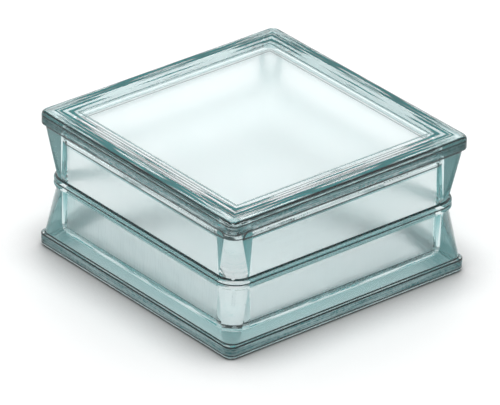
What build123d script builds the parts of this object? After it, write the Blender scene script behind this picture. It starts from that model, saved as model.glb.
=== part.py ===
# A hollow glass paving block: two pressed glass trays, open side to open side, fused into one closed piece.
# Millimetres.  +Z is up, the block lies flat, and the origin is the middle of its underside.
import os
from build123d import *

os.makedirs("parts", exist_ok=True)

# Overall size
face_width = 190.0  # both square faces, edge to edge
block_height = 94.0  # underside to walking face

# Rims: the full-width bands round the two faces
rim_height = 9.0
rim_corner_radius = 6.0  # plan corner
face_edge_round = 2.6  # where a rim turns into the face
rim_lip_bevel = 0.8  # where a rim turns into the mortar channel

# Mortar channel: the side walls between the rims, leaning in towards the weld
channel_step = 1.4  # how far the wall stands back just inside a rim
waist_inset = 5.0  # how far the wall stands back at the weld
channel_corner_radius = 7.2  # plan corner just inside a rim
waist_corner_radius = 13.0  # plan corner at the weld

# Weld bead: the double ridge left where the lips of the two trays were fused
bead_half_height = 3.5  # from the weld to where a ridge runs out into the wall
bead_crest_offset = 1.7  # from the weld to the crest of a ridge
bead_projection = 2.1  # how far a crest stands out of the wall
weld_groove_depth = 0.9  # how far the wall dips between the two crests
bead_facets = 4  # flats that follow the round of each ridge

# Sealed air chamber
plate_thickness = 10.5  # solid glass under and over the chamber
chamber_inset = 11.8  # face edge to chamber wall, beside the plate
chamber_draft = 1.3  # how much the chamber widens on each side up to the weld
chamber_corner_radius = 10.0  # plan corner
chamber_edge_round = 6.5  # where the chamber wall turns into the plate
chamber_foot_height = 8.0  # how far the wall stands upright over the plate before its draft

# Worked-out levels
weld_height = block_height / 2
channel_foot = rim_height - rim_lip_bevel


def square_outline(inset, radius):
    """A rounded square that stands back from the face edge by inset on all four sides."""
    side = face_width - 2 * inset
    return RectangleRounded(side, side, radius)


with BuildPart() as glass_block:
    # Rim of the lower tray, standing on the underside
    with BuildSketch(Plane.XY):
        square_outline(0, rim_corner_radius)
    extrude(amount=rim_height)
    fillet(glass_block.edges().group_by(Axis.Z)[0], face_edge_round)
    chamfer(glass_block.edges().group_by(Axis.Z)[-1], rim_lip_bevel)

    # Wall of the lower tray: its corners open out from the rim up to the weld
    with BuildSketch(Plane.XY.offset(channel_foot)):
        square_outline(channel_step, channel_corner_radius)
    with BuildSketch(Plane.XY.offset(weld_height)):
        square_outline(waist_inset, waist_corner_radius)
    loft()

    # Lower ridge of the weld bead: a quarter of an ellipse grows out of the wall up to the crest, ...
    for step in range(bead_facets + 1):
        turn = 90.0 * step / bead_facets
        ridge_rise = (bead_half_height - bead_crest_offset) * Vector(1, 0).rotate(Axis.Z, turn).X
        bulge = bead_projection * Vector(1, 0).rotate(Axis.Z, turn).Y
        with BuildSketch(Plane.XY.offset(weld_height - bead_crest_offset - ridge_rise)):
            square_outline(waist_inset - bulge, waist_corner_radius + bulge)
    # ... and from the crest it dips into the groove at the weld
    groove_bulge = bead_projection - weld_groove_depth
    with BuildSketch(Plane.XY.offset(weld_height)):
        square_outline(waist_inset - groove_bulge, waist_corner_radius + groove_bulge)
    loft(ruled=True)

    # Foot of the hollow: its wall stands upright here and is rounded into the plate
    with BuildSketch(Plane.XY.offset(plate_thickness)):
        square_outline(chamber_inset, chamber_corner_radius)
    extrude(amount=chamber_foot_height, mode=Mode.SUBTRACT)
    hollow_foot = glass_block.edges().filter_by_position(
        Axis.Z, plate_thickness - 0.01, plate_thickness + 0.01
    )
    fillet(hollow_foot, chamber_edge_round)

    # Rest of the hollow, open at the weld, with the draft it needs to leave the mould
    with BuildSketch(Plane.XY.offset(plate_thickness + chamber_foot_height)):
        square_outline(chamber_inset, chamber_corner_radius)
    with BuildSketch(Plane.XY.offset(weld_height)):
        square_outline(chamber_inset - chamber_draft, chamber_corner_radius)
    loft(mode=Mode.SUBTRACT)

    # The second tray is the same pressing turned over, and the two are fused at the weld
    mirror(about=Plane.XY.offset(weld_height))

glass_block.part.label = "glass_block"
export_step(glass_block.part, "parts/glass_block.step")

print("solids", len(glass_block.part.solids()), "shells", len(glass_block.part.shells()))
print("glass volume, litres", round(glass_block.part.volume / 1e6, 4))
box = glass_block.part.bounding_box()
print("box", box.min, box.max)
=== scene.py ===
# %% [markdown]
# # A hollow glass paving block, dressed in Blender
#
# The part is one piece of pressed glass: two square trays, fused open side to open side round a sealed
# air chamber.  The CAD solid comes in as the frame.  This lesson builds the same block again from
# rounded squares, with finer rounds than the solid needs, because glass shows every round twice: once
# where light goes in and once where it comes out.

# %% Bring in the frame
import math

import bmesh
import bpy
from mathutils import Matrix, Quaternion, Vector


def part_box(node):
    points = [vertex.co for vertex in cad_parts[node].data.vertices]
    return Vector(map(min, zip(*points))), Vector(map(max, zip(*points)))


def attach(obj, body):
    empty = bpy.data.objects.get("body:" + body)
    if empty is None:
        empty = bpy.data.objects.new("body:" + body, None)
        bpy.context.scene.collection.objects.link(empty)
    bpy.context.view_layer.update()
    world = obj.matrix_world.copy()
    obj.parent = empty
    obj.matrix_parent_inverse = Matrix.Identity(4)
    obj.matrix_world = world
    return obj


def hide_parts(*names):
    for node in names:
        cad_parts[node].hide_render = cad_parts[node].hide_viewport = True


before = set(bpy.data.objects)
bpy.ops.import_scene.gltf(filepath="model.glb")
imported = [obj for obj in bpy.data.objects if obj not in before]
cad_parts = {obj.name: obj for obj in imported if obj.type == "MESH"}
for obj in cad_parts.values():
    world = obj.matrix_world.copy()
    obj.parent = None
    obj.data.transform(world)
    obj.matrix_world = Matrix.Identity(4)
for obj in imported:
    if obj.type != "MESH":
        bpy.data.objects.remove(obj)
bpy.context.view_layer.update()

MM = 0.001
NODE = "glass_block"
lowest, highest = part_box(NODE)
HALF_FACE = (highest[0] - lowest[0]) / 2
TOP = highest[2]
WELD = TOP / 2
print("face", round(2 * HALF_FACE / MM, 1), "mm, height", round(TOP / MM, 1), "mm")

# %% [markdown]
# ## Sizes of the pressing
#
# A pressed tray has a full-width rim at its face, a wall that stands back from the rim so that mortar can
# key into it, and rounds wherever the mould turned a corner.  The two trays are taken as alike, so every
# height below is measured from the nearest face, and the upper half is the lower half turned over.

# %% Sizes
RIM_HEIGHT = 9.0 * MM
RIM_CORNER = 6.0 * MM
FACE_ROUND = 2.6 * MM
LIP_ROUND = 0.8 * MM

CHANNEL_STEP = 1.4 * MM
CHANNEL_CORNER = 7.2 * MM
CHANNEL_FILLET = 0.5 * MM
LEDGE_FALL = 0.3 * MM
WAIST_INSET = 5.0 * MM
WAIST_CORNER = 13.0 * MM

BEAD_HALF_HEIGHT = 3.5 * MM
BEAD_PROJECTION = 2.1 * MM
BEAD_CREST = 1.7 * MM
WELD_GROOVE = 0.9 * MM

PLATE = 10.5 * MM
CHAMBER_INSET = 11.8 * MM
CHAMBER_FOOT = 8.0 * MM
CHAMBER_DRAFT = 1.3 * MM
CHAMBER_CORNER = 10.0 * MM
CHAMBER_ROUND = 6.5 * MM
ROUND_FACETS = 4

CORNER_STEPS = 20

# %% [markdown]
# ## A block lofted from rounded squares
#
# Every level of the block is a rounded square.  One square face with its four corners bevelled gives such
# an outline with true arcs, and bridging one outline to the next gives the wall between two levels.  The
# corner arcs all have the same number of steps, so the bridges are clean quads.

# %% Helpers: one outline, and a wall through many
def outline(bm, inset, corner, height, keep_face=False):
    """Adds a rounded square at a height and returns its edges."""
    before = set(bm.edges)
    square = bmesh.ops.create_grid(bm, x_segments=1, y_segments=1, size=HALF_FACE - inset)
    bmesh.ops.translate(bm, verts=square["verts"], vec=(0, 0, height))
    bmesh.ops.bevel(
        bm,
        geom=square["verts"],
        offset=corner,
        segments=CORNER_STEPS,
        profile=0.5,
        affect="VERTICES",
        material=-1,
    )
    edges = [e for e in bm.edges if e not in before]
    if not keep_face:
        faces = list({f for e in edges for f in e.link_faces})
        bmesh.ops.delete(bm, geom=faces, context="FACES_ONLY")
    return edges


def loft(levels):
    """A closed shell through (inset, corner, height) levels, with a face at each end."""
    bm = bmesh.new()
    last = len(levels) - 1
    rings = [outline(bm, *level, keep_face=i in (0, last)) for i, level in enumerate(levels)]
    for lower, upper in zip(rings[:-1], rings[1:]):
        bmesh.ops.bridge_loops(bm, edges=lower + upper)
    bmesh.ops.recalc_face_normals(bm, faces=bm.faces)
    return bm


def quarter(steps):
    """Sine and cosine pairs from 0 to 90 degrees, for the rounds of a profile."""
    turns = [math.pi / 2 * i / steps for i in range(steps + 1)]
    return [(math.sin(t), math.cos(t)) for t in turns]


def turned_over(levels):
    """The same levels for the upper tray."""
    return [(inset, corner, TOP - height) for inset, corner, height in reversed(levels)]


# %% [markdown]
# ## The outer profile
#
# From the underside up: the round at the face, the rim, its lip, the ledge where the mortar channel starts,
# the wall that leans in and the lower half of the weld bead.

# %% Outer levels
FACE_STEPS = 8
LIP_STEPS = 5
FILLET_STEPS = 4
BEAD_STEPS = 6


def outer_levels():
    levels = []
    for s, c in quarter(FACE_STEPS):
        inset = FACE_ROUND * (1 - s)
        levels.append((inset, RIM_CORNER - inset, FACE_ROUND * (1 - c)))
    for s, c in quarter(LIP_STEPS):
        inset = LIP_ROUND * (1 - c)
        levels.append((inset, RIM_CORNER - inset, RIM_HEIGHT - LEDGE_FALL - LIP_ROUND * (1 - s)))
    for s, c in quarter(FILLET_STEPS):
        spread = CHANNEL_FILLET * (1 - s)
        height = RIM_HEIGHT + CHANNEL_FILLET * (1 - c)
        levels.append((CHANNEL_STEP - spread, CHANNEL_CORNER + spread, height))
    for s, c in quarter(BEAD_STEPS):
        bulge = BEAD_PROJECTION * s
        drop = BEAD_CREST + (BEAD_HALF_HEIGHT - BEAD_CREST) * c
        levels.append((WAIST_INSET - bulge, WAIST_CORNER + bulge, WELD - drop))
    for step in range(1, BEAD_STEPS + 1):
        share = step / BEAD_STEPS
        bulge = BEAD_PROJECTION - WELD_GROOVE * (1 - math.cos(math.pi * share)) / 2
        levels.append((WAIST_INSET - bulge, WAIST_CORNER + bulge, WELD - BEAD_CREST * (1 - share)))
    return levels


outer = outer_levels()
outer = outer + turned_over(outer)[1:]
print("outer levels", len(outer))

# %% [markdown]
# ## The air chamber
#
# The hollow of each tray has an upright foot that is rounded into the plate, and above it a wall with a
# little draft, so that the pressing leaves the mould.  The two hollows meet at the weld and make one
# sealed chamber.  A smooth round would be as easy to make.  The photo shows fine parallel lines along the
# rim, which may be narrow flats in that round, so the round here has flats.

# %% Chamber levels
def chamber_levels():
    levels = []
    for s, c in quarter(ROUND_FACETS):
        inset = CHAMBER_INSET + CHAMBER_ROUND * (1 - s)
        corner = CHAMBER_CORNER - CHAMBER_ROUND * (1 - s)
        levels.append((inset, corner, PLATE + CHAMBER_ROUND * (1 - c)))
    levels.append((CHAMBER_INSET, CHAMBER_CORNER, PLATE + CHAMBER_FOOT))
    levels.append((CHAMBER_INSET - CHAMBER_DRAFT, CHAMBER_CORNER, WELD))
    return levels


chamber = chamber_levels()
chamber = chamber + turned_over(chamber)[1:]
print("chamber levels", len(chamber))

# %% [markdown]
# ## One closed piece of glass
#
# The chamber's shell goes into the same mesh as the outer shell, with its faces turned to look into the
# air.  Then every face looks away from the glass, and light knows where it enters and leaves.  Broad flats
# are shaded flat, so that they stay true mirrors, and the narrow faces of the rounds are shaded smooth.

# %% The glass block
BROAD = 300 * MM * MM


def glass_piece(name):
    shell = loft(outer)
    hollow = loft(chamber)
    bmesh.ops.reverse_faces(hollow, faces=hollow.faces)
    hollow_mesh = bpy.data.meshes.new("hollow")
    hollow.to_mesh(hollow_mesh)
    hollow.free()
    shell.from_mesh(hollow_mesh)
    bpy.data.meshes.remove(hollow_mesh)
    for face in shell.faces:
        face.smooth = face.calc_area() < BROAD
    mesh = bpy.data.meshes.new(name)
    shell.to_mesh(mesh)
    shell.free()
    piece = bpy.data.objects.new(name, mesh)
    bpy.context.scene.collection.objects.link(piece)
    return piece


block = glass_piece("glass_paver")
print("faces", len(block.data.polygons))

# %% [markdown]
# ## Small helpers for shader nodes
#
# The finish of the glass changes from place to place: dull on the inside of the plates, clear on the
# walls, dark in the rims.  Such places could be painted by hand or picked face by face.  Here they are
# worked out from where a point lies on the block, because then the finish follows the sizes, and it needs
# no picture.

# %% Node helpers
def maths(tree, operation, first, second=None):
    """One Math node; each value is a number or another node's output."""
    node = tree.nodes.new("ShaderNodeMath")
    node.operation = operation
    for socket, value in zip(node.inputs, (first, second)):
        if isinstance(value, (int, float)):
            socket.default_value = value
        elif value is not None:
            tree.links.new(value, socket)
    return node.outputs[0]


def both(tree, first, second):
    """A mask where two masks meet, or a mask times a number."""
    return maths(tree, "MULTIPLY", first, second)


def any_of(tree, masks):
    """The greatest of several masks."""
    found = masks[0]
    for mask in masks[1:]:
        found = maths(tree, "MAXIMUM", found, mask)
    return found


def ease(tree, value, start, end, low, high):
    """A soft step: low before start, high after end."""
    node = tree.nodes.new("ShaderNodeMapRange")
    node.interpolation_type = "SMOOTHSTEP"
    for name, number in (("From Min", start), ("From Max", end), ("To Min", low), ("To Max", high)):
        node.inputs[name].default_value = number
    tree.links.new(value, node.inputs["Value"])
    return node.outputs["Result"]


def stripe(tree, value, centre, half_width, soft):
    """1 where value is near centre, and 0 elsewhere."""
    away = maths(tree, "ABSOLUTE", maths(tree, "SUBTRACT", value, centre))
    return ease(tree, away, half_width, half_width + soft, 1.0, 0.0)


def blend(tree, factor, first, second):
    """One colour over another."""
    node = tree.nodes.new("ShaderNodeMix")
    node.data_type = "RGBA"
    tree.links.new(factor, node.inputs[0])
    for socket, value in ((node.inputs[6], first), (node.inputs[7], second)):
        if isinstance(value, tuple):
            socket.default_value = (*value, 1.0)
        else:
            tree.links.new(value, socket)
    return node.outputs[2]


def noise(tree, point, grain, detail):
    """Noise whose lumps are about a grain long."""
    node = tree.nodes.new("ShaderNodeTexNoise")
    node.inputs["Scale"].default_value = 1.0 / grain
    node.inputs["Detail"].default_value = detail
    tree.links.new(point, node.inputs["Vector"])
    return node.outputs["Fac"]


print("helpers ready")

# %% [markdown]
# ## Pressed glass
#
# Such blocks are usually plain soda-lime glass.  Its green comes from a little iron, and shows only where
# light runs a long way through the glass, as it does round the rims and in the corners.  A green surface
# would be green everywhere, so the tint is in the volume, as absorption, and the surface gets colours of
# its own only in places, further down.  One closed mesh with one material matters here: light that enters
# through one material and leaves through another would carry the tint on into the air.

# %% The clear glass
GLASS_INDEX = 1.52
TINT_COLOUR = (0.0, 0.50, 0.51, 1.0)
TINT_DENSITY = 12.0

glass = bpy.data.materials.new("pressed_glass")
glass.use_nodes = True
tree = glass.node_tree
tree.nodes.clear()
glass_output = tree.nodes.new("ShaderNodeOutputMaterial")
surface = tree.nodes.new("ShaderNodeBsdfPrincipled")
surface.inputs["Metallic"].default_value = 0.0
surface.inputs["Transmission Weight"].default_value = 1.0
surface.inputs["IOR"].default_value = GLASS_INDEX
tree.links.new(surface.outputs["BSDF"], glass_output.inputs["Surface"])
tint = tree.nodes.new("ShaderNodeVolumeAbsorption")
tint.inputs["Color"].default_value = TINT_COLOUR
tint.inputs["Density"].default_value = TINT_DENSITY
tree.links.new(tint.outputs["Volume"], glass_output.inputs["Volume"])
print("tint per metre", TINT_DENSITY)

# %% [markdown]
# ## Where a point lies on the block
#
# Two distances are enough to name every band of the pressing, on all four sides and on both trays at once:
# how deep a point lies below the nearest face, and how far it stands in from the nearest side.  A third,
# along the side from its middle, tells the corners from the rest.

# %% Depth and inset
place = tree.nodes.new("ShaderNodeTexCoord").outputs["Object"]
axes = tree.nodes.new("ShaderNodeSeparateXYZ")
tree.links.new(place, axes.inputs["Vector"])
from_weld = maths(tree, "ABSOLUTE", maths(tree, "SUBTRACT", axes.outputs["Z"], WELD))
depth = maths(tree, "SUBTRACT", WELD, from_weld)
x_away = maths(tree, "ABSOLUTE", axes.outputs["X"])
y_away = maths(tree, "ABSOLUTE", axes.outputs["Y"])
inset = maths(tree, "SUBTRACT", HALF_FACE, maths(tree, "MAXIMUM", x_away, y_away))
along = maths(tree, "MINIMUM", x_away, y_away)
print("deepest point", round(WELD / MM, 1), "mm below a face")

# %% [markdown]
# ## The bands of the pressing
#
# Each band is a mask, 1 on the band and 0 elsewhere.  A limit half way through the glass parts the outside
# from the chamber.  Inside, the flat of the plates is parted from the walls, and the rounds from the flats.

# %% Band masks
OUTER_LIMIT = 8 * MM
PLATE_SKIN = 1.5 * MM
FACE_SKIN = 0.3 * MM
BED_SKIN = 0.2 * MM
PANEL_INSET = 20.3 * MM
BORDER_FADE = 3 * MM
CORNER_START = HALF_FACE - CHAMBER_INSET - CHAMBER_CORNER

outer_side = maths(tree, "LESS_THAN", inset, OUTER_LIMIT)
past_outside = maths(tree, "GREATER_THAN", inset, OUTER_LIMIT)
chamber_side = both(tree, past_outside, maths(tree, "GREATER_THAN", depth, PLATE / 2))
plate_inside = both(tree, chamber_side, maths(tree, "LESS_THAN", depth, PLATE + PLATE_SKIN))
chamber_wall = maths(tree, "SUBTRACT", chamber_side, plate_inside)
near_plate = maths(tree, "LESS_THAN", depth, PLATE + CHAMBER_ROUND)
rounded = any_of(tree, [maths(tree, "GREATER_THAN", along, CORNER_START), near_plate])
underside = maths(tree, "LESS_THAN", axes.outputs["Z"], BED_SKIN)
near_rim = ease(tree, inset, PANEL_INSET - BORDER_FADE, PANEL_INSET, 1.0, 0.0)
face_border = both(tree, maths(tree, "LESS_THAN", depth, FACE_SKIN), near_rim)
print("bands split at", OUTER_LIMIT / MM, "mm in from a side")

# %% [markdown]
# ## Dull and clear places
#
# In the photo the walking face looks white and nothing behind it can be made out, so the inside of the
# plates is taken to be a soft satin.  The chamber walls are satin here too, so the far side shows through
# them only as soft shades, but their rounds are nearly clear and draw bright outlines round the windows.
# The outer walls are clear.  The bedding face isn't seen in the photo, and it is taken to be dull.  One
# roughness for all of it would be simpler, but then the edges would be dull or the plates clear.

# %% Roughness
PLATE_ROUGHNESS = 0.30
WALL_ROUGHNESS = 0.30
BED_ROUGHNESS = 0.60
ROUND_CLEAR = 0.85

flats_only = maths(tree, "SUBTRACT", 1.0, both(tree, rounded, ROUND_CLEAR))
wall_satin = both(tree, both(tree, chamber_wall, flats_only), WALL_ROUGHNESS)
roughness = maths(tree, "ADD", wall_satin, both(tree, plate_inside, PLATE_ROUGHNESS))
roughness = maths(tree, "ADD", roughness, both(tree, underside, BED_ROUGHNESS))
print("satin inside the plates", PLATE_ROUGHNESS)

# %% [markdown]
# ## Dark edges
#
# In the photo the glass is almost black-green along a hair line at each sharp turn, perhaps because light
# is trapped there and runs round inside the rim.  Traced light gives only some of that, so each such line
# is painted shade, a dark transmission colour, and so are the fine lines round the walking face.  The rim's
# side is dark as a whole in the photo, perhaps because it looks along the plate, and that is painted shade
# too.

# %% Edge lines and rim sides
HAIR = 0.36 * MM
SOFT = 0.25 * MM
PANEL_LINE = 0.50 * MM
FACET_LINE = 0.40 * MM
FACET_INSETS = (18.2 * MM, 16.1 * MM, 14.0 * MM)
FACE_LINE_INSET = 1.4 * MM
FACE_LINE_DEPTH = 1.0 * MM
RIM_FADE = 0.4 * MM

# Painted shade: fine dark lines at the edges of the round's flats, round the walking face.
facet_shade_lines = [stripe(tree, inset, PANEL_INSET, PANEL_LINE, SOFT)]
facet_shade_lines += [stripe(tree, inset, line, FACET_LINE, SOFT) for line in FACET_INSETS]
inside_lines = [both(tree, line, near_plate) for line in facet_shade_lines]
inside_lines.append(stripe(tree, depth, PLATE + CHAMBER_ROUND, HAIR, SOFT))
face_line = stripe(tree, inset, FACE_LINE_INSET, FACET_LINE, SOFT)
outside_lines = [both(tree, face_line, maths(tree, "LESS_THAN", depth, FACE_LINE_DEPTH))]
turns = (
    FACE_ROUND,
    RIM_HEIGHT - LIP_ROUND,
    RIM_HEIGHT + CHANNEL_FILLET,
    WELD - BEAD_HALF_HEIGHT,
    WELD,
)
outside_lines += [stripe(tree, depth, turn, HAIR, SOFT) for turn in turns]
inside_dark = both(tree, chamber_side, any_of(tree, inside_lines))
outside_dark = both(tree, outer_side, any_of(tree, outside_lines))
painted_shade_line = any_of(tree, [inside_dark, outside_dark])

# The rim's side band, whose deep teal further down is painted shade.
rim_middle = (FACE_ROUND + RIM_HEIGHT - LIP_ROUND) / 2
on_rim_side = stripe(tree, depth, rim_middle, rim_middle - FACE_ROUND, RIM_FADE)
rim_side = both(tree, outer_side, on_rim_side)
print("dark lines", len(inside_lines) + len(outside_lines))

# %% [markdown]
# ## Flecks, streaks and dots
#
# In the photo the rim's side is not evenly dark but flecked.  Round the walking face lies a border of long
# light and dark streaks, which may be reflections inside the solid rim, and here the dark ones are painted
# reflections.  Patches of fine dots show through the side walls, and they are taken to lie on the inside of
# the plates.  Each mark could be painted by hand, but here all three are noise at about the size of the
# marks, which needs no picture.  The streaks are noise that is drawn out along each side, so that it
# follows the rim and turns with it at the corners.
# The dots come in patches because a second, slower noise lets them through only in places.  The patches
# fall at random, and their shapes mean nothing.

# %% Noise patterns
FLECK_SIZE = 2.2 * MM
DOT_SIZE = 1.0 * MM
PATCH_SIZE = 38 * MM
STREAK_SIZE = 1.1 * MM
STREAK_STRETCH = 0.03
BORDER_STREAK = 2.2 * MM

fleck = ease(tree, noise(tree, place, FLECK_SIZE, 2.0), 0.35, 0.62, 0.80, 1.0)
dots = ease(tree, noise(tree, place, DOT_SIZE, 1.0), 0.56, 0.66, 0.0, 1.0)
patches = ease(tree, noise(tree, place, PATCH_SIZE, 1.0), 0.48, 0.62, 0.0, 1.0)
profile = tree.nodes.new("ShaderNodeCombineXYZ")
tree.links.new(inset, profile.inputs["X"])
tree.links.new(depth, profile.inputs["Y"])
tree.links.new(both(tree, along, STREAK_STRETCH), profile.inputs["Z"])
fine = noise(tree, profile.outputs["Vector"], STREAK_SIZE, 2.0)
streak = ease(tree, fine, 0.38, 0.60, 0.0, 1.0)
# The broad streaks become the painted reflections of the border.
broad = noise(tree, profile.outputs["Vector"], BORDER_STREAK, 2.0)
painted_reflection_streak = ease(tree, broad, 0.45, 0.54, 0.04, 1.0)
print("dots", DOT_SIZE / MM, "mm in patches", PATCH_SIZE / MM, "mm")

# %% [markdown]
# ## White plates
#
# In the photo the plates are white in the middle and greyer towards their edge, and here that grey is
# painted shade.  A second satin material for the middle would leave a hard border, so one colour runs
# softly into the other with the distance from the middle, and the dots go over both.  Colour alone doesn't
# make the walking face as white as that: the rest comes from the soft light further down, which the face
# mirrors in the photo's view.

# %% White plates
CLEAR = (1.0, 1.0, 1.0)
PLATE_COLOUR = (1.0, 0.925, 0.93)
PLATE_EDGE_SHADE = (0.72, 0.66, 0.67)
STIPPLE_COLOUR = (0.42, 0.55, 0.55)
WHITE_REACH = 20 * MM
GREY_REACH = 110 * MM

plan = tree.nodes.new("ShaderNodeVectorMath")
plan.operation = "MULTIPLY"
plan.inputs[1].default_value = (1.0, 1.0, 0.0)
tree.links.new(place, plan.inputs[0])
from_middle = tree.nodes.new("ShaderNodeVectorMath")
from_middle.operation = "LENGTH"
tree.links.new(plan.outputs["Vector"], from_middle.inputs[0])
# Painted shade: the plates turn greyer towards their edge.
shade_towards_edge = ease(tree, from_middle.outputs["Value"], WHITE_REACH, GREY_REACH, 0.0, 1.0)
satin_colour_and_shade = blend(tree, shade_towards_edge, PLATE_COLOUR, PLATE_EDGE_SHADE)
colour = blend(tree, plate_inside, CLEAR, satin_colour_and_shade)
stippled = both(tree, plate_inside, both(tree, dots, patches))
colour = blend(tree, stippled, colour, STIPPLE_COLOUR)
print("plates grey from", GREY_REACH / MM, "mm out")

# %% [markdown]
# ## Teal rims and dark lines
#
# The rim's side and the rounds of the chamber take one deep teal, which is painted shade, and the streaks
# of the border a slightly lighter one, which are painted reflections.  The dark streaks are also duller
# than the clear glass between them, so that the soft light doesn't whiten them.  The edge lines are painted
# shade, and go on last, so that no other colour covers them.

# %% Rims, border and lines
RIM_SHADE_COLOUR = (0.0, 0.08, 0.09)
BORDER_REFLECTION_COLOUR = (0.0, 0.14, 0.15)
SHADE_LINE_COLOUR = (0.0, 0.0015, 0.0018)
ROUND_SHARE = 0.5
RIM_BASE = 0.65
RIM_STREAKS = 0.35
BORDER_ROUGHNESS = 0.60

outside_panel = maths(tree, "LESS_THAN", inset, PANEL_INSET)
# Painted shade: deep teal streaks on the chamber's rounds outside the walking face.
painted_round_shade = both(tree, both(tree, both(tree, chamber_side, near_plate), streak), outside_panel)
colour = blend(tree, both(tree, painted_round_shade, ROUND_SHARE), colour, RIM_SHADE_COLOUR)
# Painted shade on the rim's side, flecked at random.
rim_painted_shade = both(tree, fleck, maths(tree, "ADD", RIM_BASE, both(tree, streak, RIM_STREAKS)))
colour = blend(tree, both(tree, rim_side, rim_painted_shade), colour, RIM_SHADE_COLOUR)
# Painted reflections: dark teal streaks in the border round the walking face.
border = both(tree, face_border, painted_reflection_streak)
colour = blend(tree, border, colour, BORDER_REFLECTION_COLOUR)
# Painted shade: the dark hair lines at the sharp turns and round the walking face.
colour = blend(tree, painted_shade_line, colour, SHADE_LINE_COLOUR)
tree.links.new(colour, surface.inputs["Base Color"])
roughness = any_of(tree, [roughness, both(tree, border, BORDER_ROUGHNESS)])
tree.links.new(roughness, surface.inputs["Roughness"])
print("border streaks", BORDER_STREAK / MM, "mm wide")

# %% [markdown]
# ## Uneven surfaces
#
# Pressed glass is seldom quite flat.  The chamber walls wave slowly, with a finer orange-peel over the
# waves, and the outside has only a trace of both.  These are far below what the mesh should carry, so they
# are a bump.  Its heights are given in metres.

# %% Waves
WAVE_LENGTH = 14 * MM
WAVE_HEIGHT = 0.25 * MM
PEEL_SIZE = 1.5 * MM
PEEL_HEIGHT = 0.06 * MM
PEEL_STRETCH = 0.15
SKIN_SIZE = 6 * MM
SKIN_HEIGHT = 0.03 * MM
STREAK_HEIGHT = 0.04 * MM
STREAK_END = 1.5 * MM

waves = both(tree, noise(tree, place, WAVE_LENGTH, 1.0), WAVE_HEIGHT)
upright = tree.nodes.new("ShaderNodeMapping")
upright.inputs["Scale"].default_value = (1.0, 1.0, PEEL_STRETCH)
tree.links.new(place, upright.inputs["Vector"])
peel = both(tree, noise(tree, upright.outputs["Vector"], PEEL_SIZE, 2.0), PEEL_HEIGHT)
skin = both(tree, noise(tree, place, SKIN_SIZE, 1.0), SKIN_HEIGHT)
on_rim = maths(tree, "LESS_THAN", depth, RIM_HEIGHT + STREAK_END)
drawn_lines = both(tree, both(tree, streak, on_rim), STREAK_HEIGHT)
chamber_relief = both(tree, chamber_wall, maths(tree, "ADD", waves, peel))
outside_relief = both(tree, outer_side, maths(tree, "ADD", skin, drawn_lines))
height = maths(tree, "ADD", chamber_relief, outside_relief)
print("waves up to", WAVE_HEIGHT / MM, "mm")

# %% [markdown]
# ## The bump, and the block's place in the frame
#
# The heights feed one Bump node.  Then the piece gets its material, and the frame is told that it belongs
# to the block's own body, and the plain solid is hidden, so that the piece is seen in its place.

# %% Bump and frame
bump = tree.nodes.new("ShaderNodeBump")
bump.inputs["Strength"].default_value = 1.0
bump.inputs["Distance"].default_value = 1.0
tree.links.new(height, bump.inputs["Height"])
tree.links.new(bump.outputs["Normal"], surface.inputs["Normal"])

block.data.materials.append(glass)
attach(block, "root")
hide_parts(NODE)
print("shader nodes", len(tree.nodes))

# %% [markdown]
# ## Floor
#
# The block lies on a plain white floor.  Through the glass and in its gloss the floor is seen as plain
# white.  Seen directly, it keeps the block's shadow, and it is darkened a little close to the block, to
# come nearer to the soft shadow in the photo.

# %% White floor
WHITE = 1.0
FLOOR_REACH = 12.0
FLOOR_GAP = 0.3 * MM
SHADE_REACH = 0.035
SHADE_POWER = 1.1


def seen_by_glass(tree, paths):
    """1 for the rays of gloss and of clear glass."""
    return any_of(tree, [paths.outputs["Is Glossy Ray"], paths.outputs["Is Transmission Ray"]])


def floor_material():
    material = bpy.data.materials.new("white_floor")
    material.use_nodes = True
    floor_tree = material.node_tree
    matt = floor_tree.nodes["Principled BSDF"]
    matt.inputs["Roughness"].default_value = 1.0
    matt.inputs["Specular IOR Level"].default_value = 0.0
    close = floor_tree.nodes.new("ShaderNodeAmbientOcclusion")
    close.samples = 8
    close.inputs["Distance"].default_value = SHADE_REACH
    shade = maths(floor_tree, "POWER", close.outputs["AO"], SHADE_POWER)
    floor_tree.links.new(shade, matt.inputs["Base Color"])
    paths = floor_tree.nodes.new("ShaderNodeLightPath")
    white = floor_tree.nodes.new("ShaderNodeEmission")
    white.inputs["Strength"].default_value = WHITE
    mix = floor_tree.nodes.new("ShaderNodeMixShader")
    floor_tree.links.new(seen_by_glass(floor_tree, paths), mix.inputs[0])
    floor_tree.links.new(matt.outputs["BSDF"], mix.inputs[1])
    floor_tree.links.new(white.outputs["Emission"], mix.inputs[2])
    floor_tree.links.new(mix.outputs["Shader"], floor_tree.nodes["Material Output"].inputs["Surface"])
    return material


def floor_plane():
    bm = bmesh.new()
    bmesh.ops.create_grid(bm, x_segments=1, y_segments=1, size=FLOOR_REACH)
    bmesh.ops.translate(bm, verts=bm.verts, vec=(0, 0, -FLOOR_GAP))
    mesh = bpy.data.meshes.new("floor")
    bm.to_mesh(mesh)
    bm.free()
    mesh.materials.append(floor_material())
    plane = bpy.data.objects.new("floor", mesh)
    bpy.context.scene.collection.objects.link(plane)
    return plane


floor = floor_plane()
print(floor.name, 2 * FLOOR_REACH, "m across")

# %% [markdown]
# ## Light
#
# The light is the room: a soft ceiling, brightest overhead, and one broad soft light low behind the block.
# They light the floor and give it its shadow.  Glass shows its surroundings more than itself, so gloss and
# clear glass see a plain white room and that one soft light, which whitens the walking face and draws a
# bright line along the rims.  The room is 1, which is white, and the soft light adds up to 2.8 to it in one
# direction.  That direction suits the photo's view, so from other sides the face is greyer.  Lamps could do
# the same, but each would leave a sharp mirror of itself.

# %% Studio light
CEILING = 1.5
LIGHT_TURN = math.radians(140)
LIGHT_RISE = math.radians(30)
LIGHT_SPREAD = 40.0
LIGHT_STRENGTH = 2.8


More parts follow.
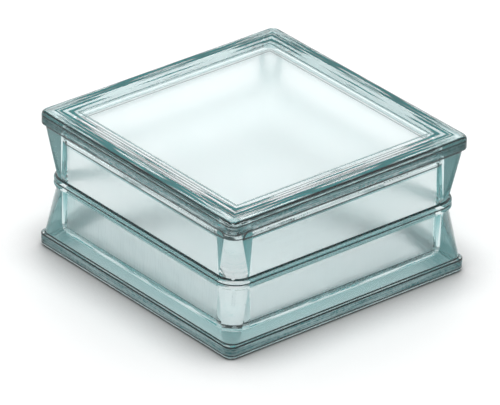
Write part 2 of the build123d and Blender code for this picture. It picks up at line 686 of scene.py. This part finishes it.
def studio_light():
    world = bpy.data.worlds.new("studio")
    bpy.context.scene.world = world
    world.use_nodes = True
    sky_tree = world.node_tree
    background = sky_tree.nodes["Background"]
    background.inputs["Color"].default_value = (WHITE, WHITE, WHITE, 1.0)
    where = sky_tree.nodes.new("ShaderNodeTexCoord").outputs["Generated"]
    sky_axes = sky_tree.nodes.new("ShaderNodeSeparateXYZ")
    sky_tree.links.new(where, sky_axes.inputs["Vector"])
    ceiling = ease(sky_tree, sky_axes.outputs["Z"], 0.0, 1.0, 0.0, CEILING)
    toward = sky_tree.nodes.new("ShaderNodeVectorMath")
    toward.operation = "DOT_PRODUCT"
    level = math.cos(LIGHT_RISE)
    toward.inputs[1].default_value = (
        math.cos(LIGHT_TURN) * level,
        math.sin(LIGHT_TURN) * level,
        math.sin(LIGHT_RISE),
    )
    sky_tree.links.new(where, toward.inputs[0])
    facing = maths(sky_tree, "MAXIMUM", toward.outputs["Value"], 0.0)
    glow = maths(sky_tree, "POWER", facing, LIGHT_SPREAD)
    soft_light = both(sky_tree, glow, LIGHT_STRENGTH)
    paths = sky_tree.nodes.new("ShaderNodeLightPath")
    seen = any_of(sky_tree, [paths.outputs["Is Camera Ray"], seen_by_glass(sky_tree, paths)])
    unseen = maths(sky_tree, "SUBTRACT", 1.0, seen)
    room = maths(sky_tree, "ADD", both(sky_tree, ceiling, unseen), both(sky_tree, seen, WHITE))
    strength = maths(sky_tree, "ADD", room, soft_light)
    sky_tree.links.new(strength, background.inputs["Strength"])


studio_light()
print("ceiling", CEILING, "soft light", LIGHT_STRENGTH)

# %% [markdown]
# ## Camera
#
# The photo fits a camera that is far away with a long lens, looking down at the near corner.  Its place
# and turn were fitted to the straight edges of the block, so they are written as they came out.

# %% Camera
CAMERA_PLACE = Vector((2.7327, -2.2972, 1.9674))
CAMERA_YAW = math.radians(49.97)
CAMERA_PITCH = math.radians(28.39)
CAMERA_ROLL = math.radians(1.20)
SENSOR_WIDTH = 36.0
FOCAL_LENGTH = 470.7
FARTHEST_SEEN = 100.0

lens = bpy.data.cameras.new("camera")
lens.sensor_width = SENSOR_WIDTH
lens.lens = FOCAL_LENGTH
lens.clip_end = FARTHEST_SEEN
camera = bpy.data.objects.new("camera", lens)
bpy.context.scene.collection.objects.link(camera)
flat = math.cos(CAMERA_PITCH)
aim = Vector((-math.sin(CAMERA_YAW) * flat, math.cos(CAMERA_YAW) * flat, -math.sin(CAMERA_PITCH)))
camera.rotation_mode = "QUATERNION"
camera.location = CAMERA_PLACE
camera.rotation_quaternion = aim.to_track_quat("-Z", "Y") @ Quaternion((0, 0, 1), CAMERA_ROLL)
bpy.context.scene.camera = camera
bpy.context.scene.view_settings.view_transform = "Standard"
print("camera", round(CAMERA_PLACE.length, 2), "m away")

# %% [markdown]
# ## Light paths
#
# A ray can turn many times inside a block of glass before it leaves, and each turn that is cut short is a
# dark spot.  So the limits go up, and the filter that blurs gloss after a dull bounce goes off, because it
# would swallow the light that reaches the floor through the glass.

# %% Bounces
light_paths = bpy.context.scene.cycles
light_paths.blur_glossy = 0.0
light_paths.max_bounces = 40
light_paths.glossy_bounces = 24
light_paths.transmission_bounces = 32
print("bounces", light_paths.max_bounces)
